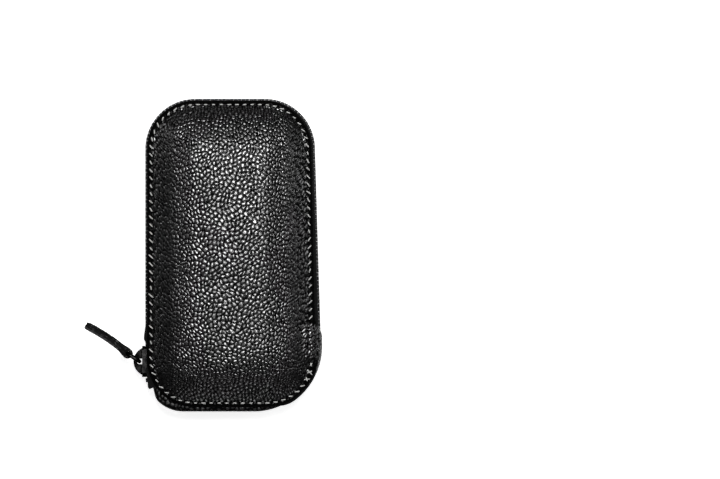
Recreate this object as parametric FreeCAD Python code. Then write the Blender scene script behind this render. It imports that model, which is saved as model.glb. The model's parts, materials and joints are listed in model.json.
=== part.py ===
import FreeCAD, Part
import math
import os
from FreeCAD import Placement, Rotation, Vector

# All sizes are in millimetres. The case lies on its back: X is its width, Y its length,
# Z its thickness. The origin is the middle of the flat it rests on.

# Front and back panels
panel_width = 64.0
panel_length = 118.0
panel_corner = 18.5
seam_margin = 4.5
swell_height = 6.2
leather = 1.3
stiffener = 0.8
lining = 0.5

# Shape of the swell: share of the way from its foot to the middle, then share of the full height
front_swell = [(0.0, 0.0), (0.055, 0.34), (0.165, 0.67), (0.345, 0.86), (0.53, 0.96), (0.64, 0.99), (0.71, 1.0)]
back_swell = [(0.0, 0.0), (0.055, 0.42), (0.145, 0.8), (0.273, 1.0)]
swell_corner_share = 0.9
layer_step_share = 0.7

# Side wall: how far it stands out past the panel edge, and its corners
wall_height = 11.0
side_bulge_top = -0.6
side_bulge_base = 3.0
base_bulge = 1.6
wall_corner_top = 18.5
wall_corner_base_right = 25.0
wall_corner_base_left = 14.0
spine = 1.3

# Leather turned over the side at the lower right corner
flap = 0.6
flap_play = 0.1
flap_parting = 0.3
flap_top_from_base = 31.0
flap_left = 21.0

# Zip tape and teeth
tape = 0.6
tape_gap = 1.3
tape_turn_in = 5.0
zip_end_left = 7.5
zip_end_right = 13.0
tooth_pitch = 3.0
tooth_width = 1.44
tooth_neck = 1.1
tooth_tip = 0.9
tooth_legs = 1.0
tooth_reach = 0.9
tooth_thickness = 2.0
crimp_gap = 0.04
stop_length = 1.6
stop_gap = 0.35

# Zip slider, measured in a frame that runs along the zip
slider_from_base = 17.5
slider_length = 12.0
slider_wide_end = 8.0
slider_narrow_end = 6.6
slider_corner = 1.6
slider_plate = 1.0
slider_play = 0.2
channel_play = 0.3
post_length = 3.0
post_width = 2.0
post_tip = 0.6
post_from_end = 0.6
bridge_length = 10.4
bridge_height = 3.4
bridge_width = 2.4
tunnel_play = 0.3

# Zip pull: a wire link and a folded leather tab
link_wire = 1.5
link_length = 5.5
link_width = 7.5
link_corner = 1.3
link_rise = 1.1
pull_angle = 56.0
pull_leather = 1.1
tab_length = 19.5
tab_width = 5.4
tab_bow = 0.7
tab_fold = 5.0
tab_play = 0.1

# Key bar with its rod and rivets
bar_side_clearance = 1.18
bar_end_clearance = 3.18
bar_depth = 9.0
bar_plate = 1.0
bar_corner = 3.0
hook_count = 4
ear_width = 1.4
ear_radius = 1.7
rod_radius = 0.8
rod_lift = 1.9
rod_set_in = 1.7
rivet_radius = 1.2
rivet_head = 4.2
rivet_head_height = 0.8
rivet_tail = 0.5
rivet_from_end = 7.0
rivet_from_back = 2.6

# Key hooks and their gates
hook_side_play = 0.75
hook_band = 1.3
hook_length = 21.3
hook_metal = 1.6
eye_width = 3.2
eye_play = 0.08
hook_neck = 1.2
gate_pivot_down = 7.0
gate_length = 8.0
gate_width = 1.1
gate_metal = 1.3
gate_round = 0.65
gate_play = 0.1

# Levels and positions that follow from the sizes above
middle = swell_height + leather + wall_height / 2
rim = middle + wall_height / 2
base_y = -panel_length / 2 - base_bulge
far = 200.0
floor = leather + stiffener + lining
swell_way = panel_width / 2 - seam_margin
inner_flat = seam_margin + back_swell[-1][0] * swell_way + layer_step_share * floor
bar_length = panel_width - 2 * (inner_flat + bar_side_clearance)
bar_y = panel_length / 2 - inner_flat - bar_end_clearance - bar_depth / 2
rod_y = bar_y - bar_depth / 2 + rod_set_in
rod_z = floor + bar_plate + rod_lift
rivet_spread = bar_length - 2 * rivet_from_end
hook_pitch = (bar_length - ear_width) / hook_count
hook_width = hook_pitch - hook_side_play
channel = tooth_thickness / 2 + slider_play
channel_half_width = tape_gap + tooth_legs + channel_play
bridge_foot = channel + slider_plate


def rectangle(width, length, radius):
    """Rounded rectangle as corner points, clockwise from the lower left, with their radii."""
    x = width / 2
    y = length / 2
    return [Vector(-x, -y), Vector(-x, y), Vector(x, y), Vector(x, -y)], [radius] * 4


def wall_outline():
    """Outer face of the side wall, clockwise from the lower left."""
    x = panel_width / 2
    y = panel_length / 2
    corners = [
        Vector(-x, base_y),
        Vector(-x, y),
        Vector(x + side_bulge_top, y),
        Vector(x + side_bulge_base, base_y),
    ]
    radii = [wall_corner_base_left, wall_corner_top, wall_corner_top, wall_corner_base_right]
    return corners, radii


def heading(start, end):
    return (end - start).normalize()


def inward(direction):
    """Normal that points into a clockwise outline."""
    return Vector(direction.y, -direction.x)


def inset(outline, distance):
    """The same outline moved inwards, or outwards for a negative distance."""
    corners, radii = outline
    moved = []
    for i, corner in enumerate(corners):
        before = heading(corners[i - 1], corner)
        after = heading(corner, corners[(i + 1) % len(corners)])
        normals = inward(before) + inward(after)
        scale = distance / (1 + inward(before).dot(inward(after)))
        moved.append(corner + normals * scale)
    return moved, [radius - distance for radius in radii]


def outline_edges(outline, z=0.0):
    """Lines and corner arcs in order, starting with the left side going up."""
    corners, radii = outline
    arcs = []
    for i, corner in enumerate(corners):
        before = heading(corners[i - 1], corner)
        after = heading(corner, corners[(i + 1) % len(corners)])
        turn = before.getAngle(after)
        reach = radii[i] * math.tan(turn / 2)
        start = corner - before * reach
        end = corner + after * reach
        centre = start + inward(before) * radii[i]
        top = centre + heading(centre, corner) * radii[i]
        arcs.append((start, top, end))
    lift = Vector(0, 0, z)
    edges = []
    for i, (start, top, end) in enumerate(arcs):
        following = arcs[(i + 1) % len(arcs)]
        edges.append(Part.LineSegment(end + lift, following[0] + lift).toShape())
        edges.append(Part.Arc(*(point + lift for point in following)).toShape())
    return edges


def outline_wire(outline, z):
    return Part.Wire(outline_edges(outline, z))


def plate(outline, low, high):
    return Part.Face(outline_wire(outline, low)).extrude(Vector(0, 0, high - low))


def ring(outer, inner, low, high):
    return plate(outer, low, high).cut(plate(inner, low, high))


def block(x0, x1, y0, y1, z0=-far, z1=far):
    return Part.makeBox(x1 - x0, y1 - y0, z1 - z0, Vector(x0, y0, z0))


def upright(shape):
    """Turn a shape drawn flat so that its Y becomes Z."""
    shape.rotate(Vector(0, 0, 0), Vector(1, 0, 0), 90)
    return shape


def mirrored(shape):
    return shape.mirror(Vector(0, 0, middle), Vector(0, 0, 1))


def swell(profile, drop):
    """Solid under the swollen part of a panel, a given depth below its outer face."""
    step = layer_step_share * drop
    sections = []
    for way, share in profile:
        distance = way * swell_way
        margin = 2 * (seam_margin + distance + step)
        radius = (panel_corner - seam_margin - step) * (1 - swell_corner_share * way)
        outline = rectangle(panel_width - margin, panel_length - margin, radius)
        sections.append(outline_wire(outline, rim + leather - drop + share * swell_height))
    return Part.makeLoft(sections, True, False)


def panel(profile):
    """Outer leather: flat rim, swollen middle and the flap over the side."""
    outer = inset(wall_outline(), -(tooth_thickness - tape) / 2 - flap_play - flap)
    flap_zone = block(flap_left, far, -far, -panel_length / 2 + flap_top_from_base)
    turn = plate(outer, rim, rim + leather)
    turn = turn.fuse(ring(outer, inset(outer, flap), middle + flap_parting, rim + leather))
    body = plate(rectangle(panel_width, panel_length, panel_corner), rim, rim + leather)
    body = body.fuse(turn.common(flap_zone))
    body = body.fuse(swell(profile, 0.0))
    return body.cut(swell(profile, leather)).removeSplitter()


def board(profile):
    return swell(profile, leather).cut(swell(profile, leather + stiffener))


def inner_skin(profile):
    """Lining: follows the swell and lies flat under the turned-in tape."""
    top = rim - tape
    skin = plate(inset(wall_outline(), spine + crimp_gap), top - lining, top)
    skin = skin.fuse(swell(profile, leather + stiffener))
    return skin.cut(swell(profile, leather + stiffener + lining)).removeSplitter()


def zip_zone():
    left = block(-far, 0, base_y + zip_end_left, far)
    right = block(0, far, base_y + zip_end_right, far)
    return left.fuse(right)


def side_strip(thickness, low):
    """A side wall strip with its upper edge turned in under the leather rim."""
    wall = ring(wall_outline(), inset(wall_outline(), thickness), low, rim)
    margin = rectangle(panel_width - 2 * tape_turn_in, panel_length - 2 * tape_turn_in,
                       panel_corner - tape_turn_in)
    return wall.fuse(ring(wall_outline(), margin, rim - tape, rim)).removeSplitter()


def zip_tape():
    return side_strip(tape, middle + tape_gap).common(zip_zone())


def spine_half():
    return side_strip(spine, middle).cut(zip_zone())


zip_path = outline_edges(inset(wall_outline(), tape / 2))
path_start = zip_path[0].valueAt(zip_path[0].FirstParameter)
slider_place = -panel_length / 2 + slider_from_base - path_start.y


def zip_station(distance):
    """Place on the zip, measured from the foot of the straight left side."""
    if distance < 0:
        edge = zip_path[-1]
        distance = edge.Length + distance
    else:
        for edge in zip_path:
            if distance <= edge.Length:
                break
            distance -= edge.Length
    parameter = edge.getParameterByLength(distance)
    along = edge.tangentAt(parameter)
    point = edge.valueAt(parameter)
    angle = math.degrees(math.atan2(along.y, along.x))
    return Placement(Vector(point.x, point.y, middle), Rotation(Vector(0, 0, 1), angle))


def tape_slot(length):
    half = tape / 2 + crimp_gap
    return block(-length, length, -half, half, tape_gap - crimp_gap, far)


def tooth():
    """One front tooth at the middle plane: legs on the tape, head reaching past the middle."""
    head = tape_gap - tooth_reach
    sides = [
        (tape_gap + tooth_legs, tooth_neck / 2),
        (tape_gap, tooth_width / 2),
        (head, tooth_neck / 2),
        (head - tooth_reach * 0.6, tooth_width / 2),
        (-tooth_reach, tooth_tip / 2),
    ]
    points = [Vector(half, -tooth_thickness / 2, z) for z, half in sides]
    points += [Vector(-half, -tooth_thickness / 2, z) for z, half in reversed(sides)]
    points.append(points[0])
    solid = Part.Face(Part.makePolygon(points)).extrude(Vector(0, tooth_thickness, 0))
    return solid.cut(tape_slot(tooth_width)).Solids[0]


def zip_stop():
    half = tooth_thickness / 2
    top = tape_gap + tooth_legs
    solid = block(-stop_length / 2, stop_length / 2, -half, half, tape_gap - tooth_reach, top)
    return solid.cut(tape_slot(stop_length)).Solids[0]


def placed(shape, placement):
    copy = shape.copy()
    copy.Placement = placement.multiply(shape.Placement)
    return copy


def across(shape):
    """The same piece for the back row, on the other side of the middle plane."""
    return shape.mirror(Vector(0, 0, 0), Vector(0, 0, 1))


def tooth_places():
    """Distances along the zip, alternating between the front and the back row."""
    post_top = -slider_length / 2 + post_from_end + post_length
    distance = slider_place + post_top + tooth_width / 2 + stop_gap
    end_y = base_y + zip_end_right + 2 * stop_length
    places = []
    while True:
        spot = zip_station(distance).Base
        if spot.x > 0 and spot.y < end_y:
            return places
        places.append(distance)
        distance += tooth_pitch / 2


def zip_rows():
    """Teeth and end stops of both rows."""
    places = tooth_places()
    front_teeth = [placed(tooth(), zip_station(d)) for d in places[0::2]]
    back_teeth = [placed(across(tooth()), zip_station(d)) for d in places[1::2]]
    below_slider = slider_place - slider_length / 2 - stop_gap - stop_length / 2
    past_teeth = places[-1] + tooth_width / 2 + stop_gap + stop_length / 2
    ends = [below_slider, past_teeth]
    front_stops = [placed(zip_stop(), zip_station(d)) for d in ends]
    back_stops = [placed(across(zip_stop()), zip_station(d)) for d in ends]
    return front_teeth, back_teeth, front_stops, back_stops


def slider_body():
    """Two flanged plates joined by the post that parts the teeth."""
    x = slider_length / 2
    wide = slider_wide_end / 2
    narrow = slider_narrow_end / 2
    corners = [Vector(-x, -wide), Vector(-x, wide), Vector(x, narrow), Vector(x, -narrow)]
    outline = corners, [slider_corner] * 4
    body = plate(outline, -bridge_foot, bridge_foot)
    body = body.cut(block(-far, far, -channel_half_width, channel_half_width, -channel, channel))
    slot = tape / 2 + slider_play
    body = body.cut(block(-far, far, -far, far, -slot, slot))
    foot = -x + post_from_end
    tip = foot + post_length
    points = [
        Vector(foot, -post_width / 2, -bridge_foot),
        Vector(foot, post_width / 2, -bridge_foot),
        Vector(tip, post_tip / 2, -bridge_foot),
        Vector(tip, -post_tip / 2, -bridge_foot),
    ]
    points.append(points[0])
    post = Part.Face(Part.makePolygon(points)).extrude(Vector(0, 0, 2 * bridge_foot))
    return upright(body.fuse(post).removeSplitter())


def cap():
    start = Vector(-bridge_length / 2, bridge_foot, -bridge_width / 2)
    top = Vector(0, bridge_foot + bridge_height, -bridge_width / 2)
    end = Vector(bridge_length / 2, bridge_foot, -bridge_width / 2)
    edges = [Part.Arc(start, top, end).toShape(), Part.LineSegment(end, start).toShape()]
    return Part.Face(Part.Wire(edges)).extrude(Vector(0, 0, bridge_width))


def slider_bridge():
    """Domed cap on the slider, with a tunnel in which the link's near bar turns."""
    side = bridge_width / 2
    half = link_wire / 2 + tunnel_play
    centre = bridge_foot + link_rise
    tunnel = Part.makeCylinder(half, bridge_width, Vector(0, centre, -side))
    tunnel = tunnel.fuse(block(-half, half, bridge_foot, centre, -side, side))
    return cap().cut(tunnel)


def pull_link():
    """Closed wire ring, its near bar on the origin and its length along X."""
    ring_solid = None
    for edge in outline_edges(rectangle(link_length, link_width, link_corner)):
        start = edge.valueAt(edge.FirstParameter)
        along = edge.tangentAt(edge.FirstParameter)
        disc = Part.Face(Part.Wire(Part.makeCircle(link_wire / 2, start, along)))
        if edge.Curve.TypeId == "Part::GeomCircle":
            turn = math.degrees(edge.Length / link_corner)
            length = disc.revolve(edge.Curve.Center, Vector(0, 0, -1), turn)
        else:
            length = disc.extrude(along * edge.Length)
        ring_solid = length if ring_solid is None else ring_solid.fuse(length)
    ring_solid = ring_solid.removeSplitter()
    ring_solid.translate(Vector(link_length / 2, 0, 0))
    return upright(ring_solid)


def pull_tab():
    """Leather strip folded round the far bar of the link, its two layers closed to a tail."""
    bar = link_wire / 2 + tab_play
    loop = bar + pull_leather
    half = pull_leather

    def point(distance, side):
        share = distance / tab_length
        bow = -4 * tab_bow * share * (1 - share)
        return Vector(link_length + distance, bow + side, -tab_width / 2)

    centre = Vector(link_length, 0, -tab_width / 2)
    upper = centre + Vector(0, loop, 0)
    lower = centre - Vector(0, loop, 0)
    back = centre - Vector(loop, 0, 0)
    late = tab_length - half
    mid = (tab_fold + late) / 2
    edges = [
        Part.Arc(lower, back, upper).toShape(),
        Part.LineSegment(upper, point(tab_fold, half)).toShape(),
        Part.Arc(point(tab_fold, half), point(mid, half), point(late, half)).toShape(),
        Part.Arc(point(late, half), point(tab_length, 0), point(late, -half)).toShape(),
        Part.Arc(point(late, -half), point(mid, -half), point(tab_fold, -half)).toShape(),
        Part.LineSegment(point(tab_fold, -half), lower).toShape(),
    ]
    solid = Part.Face(Part.Wire(edges)).extrude(Vector(0, 0, tab_width))
    return solid.cut(Part.makeCylinder(bar, tab_width, centre))


def rivet_places():
    y = bar_y + bar_depth / 2 - rivet_from_back
    return [Vector(-rivet_spread / 2, y, 0), Vector(rivet_spread / 2, y, 0)]


def rivet_holes(radius, low, high):
    holes = [Part.makeCylinder(radius, high - low, spot + Vector(0, 0, low)) for spot in rivet_places()]
    return Part.makeCompound(holes)


def rivet(spot):
    """Shank through bar, lining and board, with a head above and a clenched tail below."""
    top = floor + bar_plate
    shank = Part.makeCylinder(rivet_radius, top - leather, spot + Vector(0, 0, leather))
    head = Part.makeCone(rivet_head / 2, rivet_radius, rivet_head_height, spot + Vector(0, 0, top))
    tail = Part.makeCylinder(rivet_head / 2, rivet_tail, spot + Vector(0, 0, leather))
    return shank.fuse(head).fuse(tail).removeSplitter().Solids[0]


def key_bar():
    """Base plate with an upright ear on each side of every hook."""
    top = floor + bar_plate
    bar = plate(rectangle(bar_length, bar_depth, bar_corner), floor, top)
    bar.translate(Vector(0, bar_y, 0))
    for i in range(hook_count + 1):
        x = (i - hook_count / 2) * hook_pitch - ear_width / 2
        leg = block(x, x + ear_width, rod_y - ear_radius, rod_y + ear_radius, floor, rod_z)
        bow = Part.makeCylinder(ear_radius, ear_width, Vector(x, rod_y, rod_z), Vector(1, 0, 0))
        bar = bar.fuse(leg).fuse(bow)
    bar = bar.cut(hook_rod())
    return bar.cut(rivet_holes(rivet_radius, floor, top)).removeSplitter()


def hook_rod():
    start = Vector(-bar_length / 2, rod_y, rod_z)
    return Part.makeCylinder(rod_radius, bar_length, start, Vector(1, 0, 0))


def hook_x(index):
    return (index - (hook_count - 1) / 2) * hook_pitch


def gate_line():
    """Middle of the gate's side of the hook, and the height of its pivot."""
    return hook_width / 2 - hook_band / 2, rod_y - gate_pivot_down


def key_hook(index):
    """Oval loop with a turned eye on the rod and a mouth left open for the gate."""
    low = rod_z - hook_metal / 2
    outer = rectangle(hook_width, hook_length, hook_width / 2 - 0.01)
    loop = ring(outer, inset(outer, hook_band), low, low + hook_metal)
    loop.translate(Vector(0, rod_y - hook_neck - hook_length / 2, 0))
    eye_start = Vector(-eye_width / 2, rod_y, rod_z)
    eye = Part.makeCylinder(ear_radius, eye_width, eye_start, Vector(1, 0, 0))
    bore = Part.makeCylinder(rod_radius + eye_play, eye_width, eye_start, Vector(1, 0, 0))
    x, pivot = gate_line()
    mouth = block(x - hook_band, x + hook_band, pivot - gate_length - gate_play, pivot)
    seat = Part.makeCylinder(gate_round + gate_play, hook_metal, Vector(x, pivot, low))
    hook = loop.fuse(eye).cut(bore).cut(mouth).cut(seat).removeSplitter()
    hook.translate(Vector(hook_x(index), 0, 0))
    return hook


def hook_gate(index):
    """Sprung gate: a straight bar whose round end turns in a seat in the hook."""
    low = rod_z - gate_metal / 2
    x, pivot = gate_line()
    half = gate_width / 2
    bar = block(x - half, x + half, pivot - gate_length, pivot, low, low + gate_metal)
    knuckle = Part.makeCylinder(gate_round, gate_metal, Vector(x, pivot, low))
    gate = bar.fuse(knuckle).removeSplitter()
    gate.translate(Vector(hook_x(index), 0, 0))
    return gate


def save(name, shape):
    solids = shape.Solids
    result = solids[0] if len(solids) == 1 else Part.makeCompound(solids)
    result.exportStep("parts/" + name + ".step")


def main():
    os.makedirs("parts", exist_ok=True)
    save("front_panel", panel(front_swell))
    save("front_stiffener", board(front_swell))
    save("front_lining", inner_skin(front_swell))
    save("front_zip_tape", zip_tape())
    save("spine_front", spine_half())
    save("back_panel", mirrored(panel(back_swell)))
    seats = rivet_holes(rivet_head / 2, leather, leather + rivet_tail)
    holes = rivet_holes(rivet_radius, 0, floor)
    save("back_stiffener", mirrored(board(back_swell)).cut(holes).cut(seats))
    save("back_lining", mirrored(inner_skin(back_swell)).cut(holes))
    save("back_zip_tape", mirrored(zip_tape()))
    save("spine_back", mirrored(spine_half()))
    front_teeth, back_teeth, front_stops, back_stops = zip_rows()
    save("front_zip_teeth", Part.makeCompound(front_teeth))
    save("back_zip_teeth", Part.makeCompound(back_teeth))
    save("front_zip_stops", Part.makeCompound(front_stops))
    save("back_zip_stops", Part.makeCompound(back_stops))
    on_zip = zip_station(slider_place)
    pivot = Placement(Vector(0, bridge_foot + link_rise, 0), Rotation(Vector(0, 0, 1), pull_angle))
    on_pull = on_zip.multiply(pivot)
    save("slider_body", placed(slider_body(), on_zip))
    save("slider_bridge", placed(slider_bridge(), on_zip))
    save("pull_link", placed(pull_link(), on_pull))
    save("pull_tab", placed(pull_tab(), on_pull))
    save("key_bar", key_bar())
    save("hook_rod", hook_rod())
    save("bar_rivets", Part.makeCompound([rivet(spot) for spot in rivet_places()]))
    for index in range(hook_count):
        save("key_hook_%d" % (index + 1), key_hook(index))
        save("hook_gate_%d" % (index + 1), hook_gate(index))


if __name__ == "__main__":
    main()
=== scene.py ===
import json
import math
from itertools import product

import bmesh
import bpy
import numpy as np
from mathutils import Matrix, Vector


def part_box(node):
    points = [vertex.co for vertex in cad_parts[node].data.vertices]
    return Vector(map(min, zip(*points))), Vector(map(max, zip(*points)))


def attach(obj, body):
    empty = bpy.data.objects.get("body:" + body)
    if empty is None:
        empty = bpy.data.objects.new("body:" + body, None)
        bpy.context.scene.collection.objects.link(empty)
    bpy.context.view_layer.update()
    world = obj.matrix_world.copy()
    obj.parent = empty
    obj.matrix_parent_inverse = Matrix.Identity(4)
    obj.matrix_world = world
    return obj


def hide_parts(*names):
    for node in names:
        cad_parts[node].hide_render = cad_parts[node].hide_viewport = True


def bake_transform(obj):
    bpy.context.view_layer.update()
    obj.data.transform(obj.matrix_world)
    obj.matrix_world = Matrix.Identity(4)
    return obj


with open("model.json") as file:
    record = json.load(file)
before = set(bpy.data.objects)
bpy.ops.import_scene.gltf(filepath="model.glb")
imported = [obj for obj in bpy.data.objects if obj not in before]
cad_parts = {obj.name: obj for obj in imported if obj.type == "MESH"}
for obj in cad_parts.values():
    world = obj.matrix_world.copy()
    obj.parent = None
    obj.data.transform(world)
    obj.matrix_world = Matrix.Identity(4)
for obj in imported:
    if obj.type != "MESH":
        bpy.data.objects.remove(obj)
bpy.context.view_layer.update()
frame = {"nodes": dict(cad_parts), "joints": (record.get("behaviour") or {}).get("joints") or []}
scene = bpy.context.scene

# Sizes are in millimetres and become metres when a mesh is made
MM = 0.001
low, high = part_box("front_panel")
CROWN = high.z / MM
low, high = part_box("front_zip_tape")
RIM = high.z / MM
low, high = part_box("spine_front")
MIDDLE = low.z / MM
BASE_Y = low.y / MM
low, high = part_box("slider_body")
SLIDER_TOP = high.y / MM

PANEL_WIDTH = 64.0
PANEL_LENGTH = 118.0
PANEL_CORNER = 18.5
HALF_PANEL = np.array([PANEL_WIDTH, PANEL_LENGTH]) / 2
LEATHER = 1.3
SWELL = CROWN - RIM - LEATHER
FAR = 1000.0
OUTLINE_STEP = 0.05
TINY = 1e-6
UP = np.array([0.0, 0.0, 1.0])
RIGHT_EDGE_TOP = -0.9
RIGHT_EDGE_BASE = 1.3

# Outer face of the side wall
WALL_RIGHT_TOP = 31.4
WALL_RIGHT_BASE = 35.0
WALL_RADII = (14.0, 25.0, 18.5, 18.5)
ZIP_END_LEFT = BASE_Y + 7.5
ZIP_END_RIGHT = BASE_Y + 13.0
TAPE = 0.6
TAPE_GAP = 1.3
TAPE_TURN_IN = 5.0
UNDER_RIM = 0.02
TAPE_STEP = 0.6
TAPE_END = 1.2
WALL_SIDE = 20

# Tape that stands out above the slider, clear of the teeth, and at its lower end
PUCKER_ABOVE = (13.0, 2.0)
PUCKER_FROM = (0.3, 3.0)
PUCKER_LOW = 0.4
PUCKER_HIGH = 0.8
TEETH_COVER = (0.9, 1.8)
END_LIFT = 0.4
END_LIFT_FROM = (3.0, 0.8)
END_DROP = 0.3
END_DROP_FROM = (0.7, -0.2)

# Spine
SPINE_GRAIN = 0.5
SPINE_SLIT = 0.04
SPINE_STEP = 0.4
SPINE_HEM = 3.4
SPINE_POINTS = 14
HEM_POINTS = 7
SPINE_SHOULDER = 0.6
SPINE_BULGE = 0.22
SPINE_CREASE = 0.35
SPINE_CREASE_WIDTH = 0.35
SPINE_OVERLAP = 1.3
SPINE_TUCK = 1.4
SPINE_TUCK_LENGTH = 6
STRAIGHT = 0.02
SHARP_ANGLE = math.radians(70)

# Leather turned over the side at the lower right
FLAP = 0.6
FLAP_STAND_OFF = 1.1
FLAP_PARTING = 0.3
FLAP_FALL = 3.0
FLAP_BEND = 0.6
FLAP_ROUND = 0.2
FLAP_LIP = (0.25, 0.3)
RUN_ON = 0.72
FLAP_TOP = (-24.5, -32.0)
FLAP_END = (17.0, 25.0)
RUN_ON_PLACE = 2.5
RUN_ON_WIDTH = 1.8

# Cut edge of the leather as (outward, height), from the underside round onto the top
UNDER_REACH = 3.0
EDGE_WIDTH = 1.2
CUT_EDGE = [
    (-0.45, 0.0), (-0.12, 0.08), (0.0, 0.3), (-0.03, 0.55),
    (-0.2, 0.82), (-0.5, 1.03), (-0.85, 1.18), (-EDGE_WIDTH, 1.28),
]
UNDER_POINTS = 10
EDGE_POINTS = 34
BEND_POINTS = 17

# The panel's inner face has one column for this many of the outer face
COARSE = 4
GRID_INSET = 12.0
UNDER_RINGS = (5.0, 7.5, 10.0, GRID_INSET)

# Where the padding starts to swell, inside the seam, and how round it is
SWELL_FOOT = 2.4
PILLOW_POWER = 3.1
PILLOW_CORNERS = 4
FLAT_PAD = (1.2, 11.8)
HOLLOW_DEPTH = 0.22

# Pebbles of the leather
PEBBLE = 1.9
PEBBLE_HEIGHT = 0.25
PEBBLE_JITTER = 0.8
PEBBLE_SEED = 7
PEBBLE_DRIFT = 0.3
DRIFT_PITCH = 0.8
DRIFT_PHASE = (0.3, 1.7)
PEBBLE_LEAN = 0.25
PEBBLE_ROUND = 2.2
PEBBLE_SINK = 0.6
PEBBLE_SHOW = 1.1
CREASE_WIDTH = 0.48
ROW_STEP = math.sqrt(3) / 2
EDGE_GRAIN = 0.1
RIM_GRAIN = 0.4
GRAIN_STARTS = (1.6, 3.4)
FLAP_GRAIN_FROM = 0.3
FLAP_GRAIN_OVER = 1.5

# How the hide is drawn over the padding, and long and aslant down the flanks
HIDE_DRAW = 9.0
HIDE_SPREAD = np.array([30.0, 75.0])
HIDE_MIDDLE = np.array([0.0, 30.0])
HIDE_REACH = np.array([30.0, 60.0])
HIDE_SOFTNESS = 0.015
HIDE_APART = 100
FLANK_FACING = (0.72, 0.95)
FLANK_ZONE = (12.0, 5.0)
FLANK_SQUEEZE = 1.6
FLANK_STRETCH = 0.72
FLANK_TILT = 0.45

# Saddle stitching
STITCH_INSET = 1.6
STITCH_PITCH = 3.0
STITCH_SEED = 11
STITCH_LENGTH = 1.5
STITCH_SLANT = 0.58
SLANT_TURNS = 6.0
THREAD = 0.22
UNSEWN = (-27.5, -41.5)
UNSEWN_FADE = (2.0, 3.0)
UNSEWN_SIDE = (18.0, 24.0)
TACKED_TO = -50.5
TACK_SLANT = 1.5
STITCH_BED = 0.2
STITCH_ARCH = 0.36
STITCH_DIVE = 0.25
STITCH_POINTS = 9
LENGTH_DRIFT = 0.12
LEAN_DRIFT = 0.35
SINK_DRIFT = 0.1
DRIFT_LIMIT = 1.8
THREAD_TAPER = 0.55
THREAD_FLATNESS = 0.85
THREAD_SIDES = 8
SEAM_WIDTH = 0.55
SEAM_DEPTH = 0.16
HOLE_WIDTH = 0.5
HOLE_DEPTH = 0.2

# Lining cloth
LINING = 0.5
LINING_RINGS = (1.5, 2.6, 4.0, 5.4, 6.8, 8.2, 9.6, 11.0)
LINING_SPACING = 1.3
LINING_THICKNESS = 0.9 * LINING
LINING_CLEARANCE = 0.2
LINING_START = 100
FRONT_LINING_FOOT = 6.2
FRONT_LINING_RISE = 5.2
FRONT_LINING_ROUND = 1.15
BACK_LINING_FOOT = 6.3
BACK_LINING_RISE = 7.6


def unit(rows):
    return rows / np.linalg.norm(rows, axis=1, keepdims=True)


def travelled(points):
    """Length of an open line up to each of its points."""
    return np.append(0, np.cumsum(np.linalg.norm(np.diff(points, axis=0), axis=1)))


def gaps_round(points):
    """Distance from each point of a closed line to the next."""
    return np.linalg.norm(np.diff(points, axis=0, append=points[:1]), axis=1)


def put(name, data):
    """Places a mesh, lamp or camera in the scene."""
    holder = bpy.data.objects.new(name, data)
    scene.collection.objects.link(holder)
    return holder


class Outline:
    """Closed outline with rounded corners, counter-clockwise, measured along its length."""

    def __init__(self, corners, radii):
        corners = np.array(corners, float)
        count = len(corners)
        ways = unit(np.roll(corners, -1, axis=0) - corners)
        arcs = []
        for i in range(count):
            before, after = ways[i - 1], ways[i]
            turn = math.acos(np.dot(before, after))
            left = np.array([-before[1], before[0]])
            start = corners[i] - before * radii[i] * math.tan(turn / 2)
            arcs.append((start + left * radii[i], radii[i], math.atan2(-left[1], -left[0]), turn))
        points = []
        normals = []
        self.middles = []

        def arc(index, share_from, share_to):
            centre, radius, angle, turn = arcs[index]
            steps = max(2, int(radius * turn * (share_to - share_from) / OUTLINE_STEP))
            shares = np.linspace(share_from, share_to, steps)
            normal = np.stack([np.cos(angle + turn * shares), np.sin(angle + turn * shares)], 1)
            points.append(centre + radius * normal)
            normals.append(normal)

        for i in range(count):
            self.middles.append(sum(len(p) for p in points))
            arc(i, 0.5, 1.0)
            arc((i + 1) % count, 0.0, 0.5)
        self.points = np.concatenate(points)
        self.normals = np.concatenate(normals)
        gaps = gaps_round(self.points)
        self.total = gaps.sum()
        self.lengths = np.cumsum(gaps) - gaps
        self.middles = [self.lengths[i] for i in self.middles] + [self.total]

    def at(self, lengths):
        """Points and outward normals at these lengths along the outline."""
        def read(rows):
            return np.stack([np.interp(lengths, self.lengths, v, period=self.total) for v in rows.T], 1)

        return read(self.points), unit(read(self.normals))

    def length_where(self, wanted):
        """First length at which a test on x and y becomes true."""
        return self.lengths[np.argmax(wanted(self.points[:, 0], self.points[:, 1]))]


def rectangle(width, length):
    x = width / 2
    y = length / 2
    return [(-x, -y), (x, -y), (x, y), (-x, y)]


panel_outline = Outline(rectangle(PANEL_WIDTH, PANEL_LENGTH), [PANEL_CORNER] * 4)
left, top = HALF_PANEL * (-1, 1)
wall_corners = [(left, BASE_Y), (WALL_RIGHT_BASE, BASE_Y), (WALL_RIGHT_TOP, top), (left, top)]
wall_outline = Outline(wall_corners, WALL_RADII)


def ease(value, low, high):
    """Smooth step from 0 at low to 1 at high."""
    share = np.clip((np.asarray(value, float) - low) / (high - low), 0, 1)
    return share * share * (3 - 2 * share)


def scatter(cells, seed):
    """Repeatable numbers from 0 to 1 for whole-number cells, two each."""
    keys = cells.astype(np.uint32) * np.array([73856093, 19349663], np.uint32)
    base = keys[:, 0] ^ keys[:, 1] ^ np.uint32(seed)
    result = []
    for turn in (1, 2):
        value = base + np.uint32(0x9E3779B9 * turn % 2**32)
        value = (value ^ (value >> 16)) * np.uint32(0x7FEB352D)
        value = (value ^ (value >> 15)) * np.uint32(0x846CA68B)
        value = value ^ (value >> 16)
        result.append(value / 2**32)
    return np.stack(result, 1)


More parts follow.
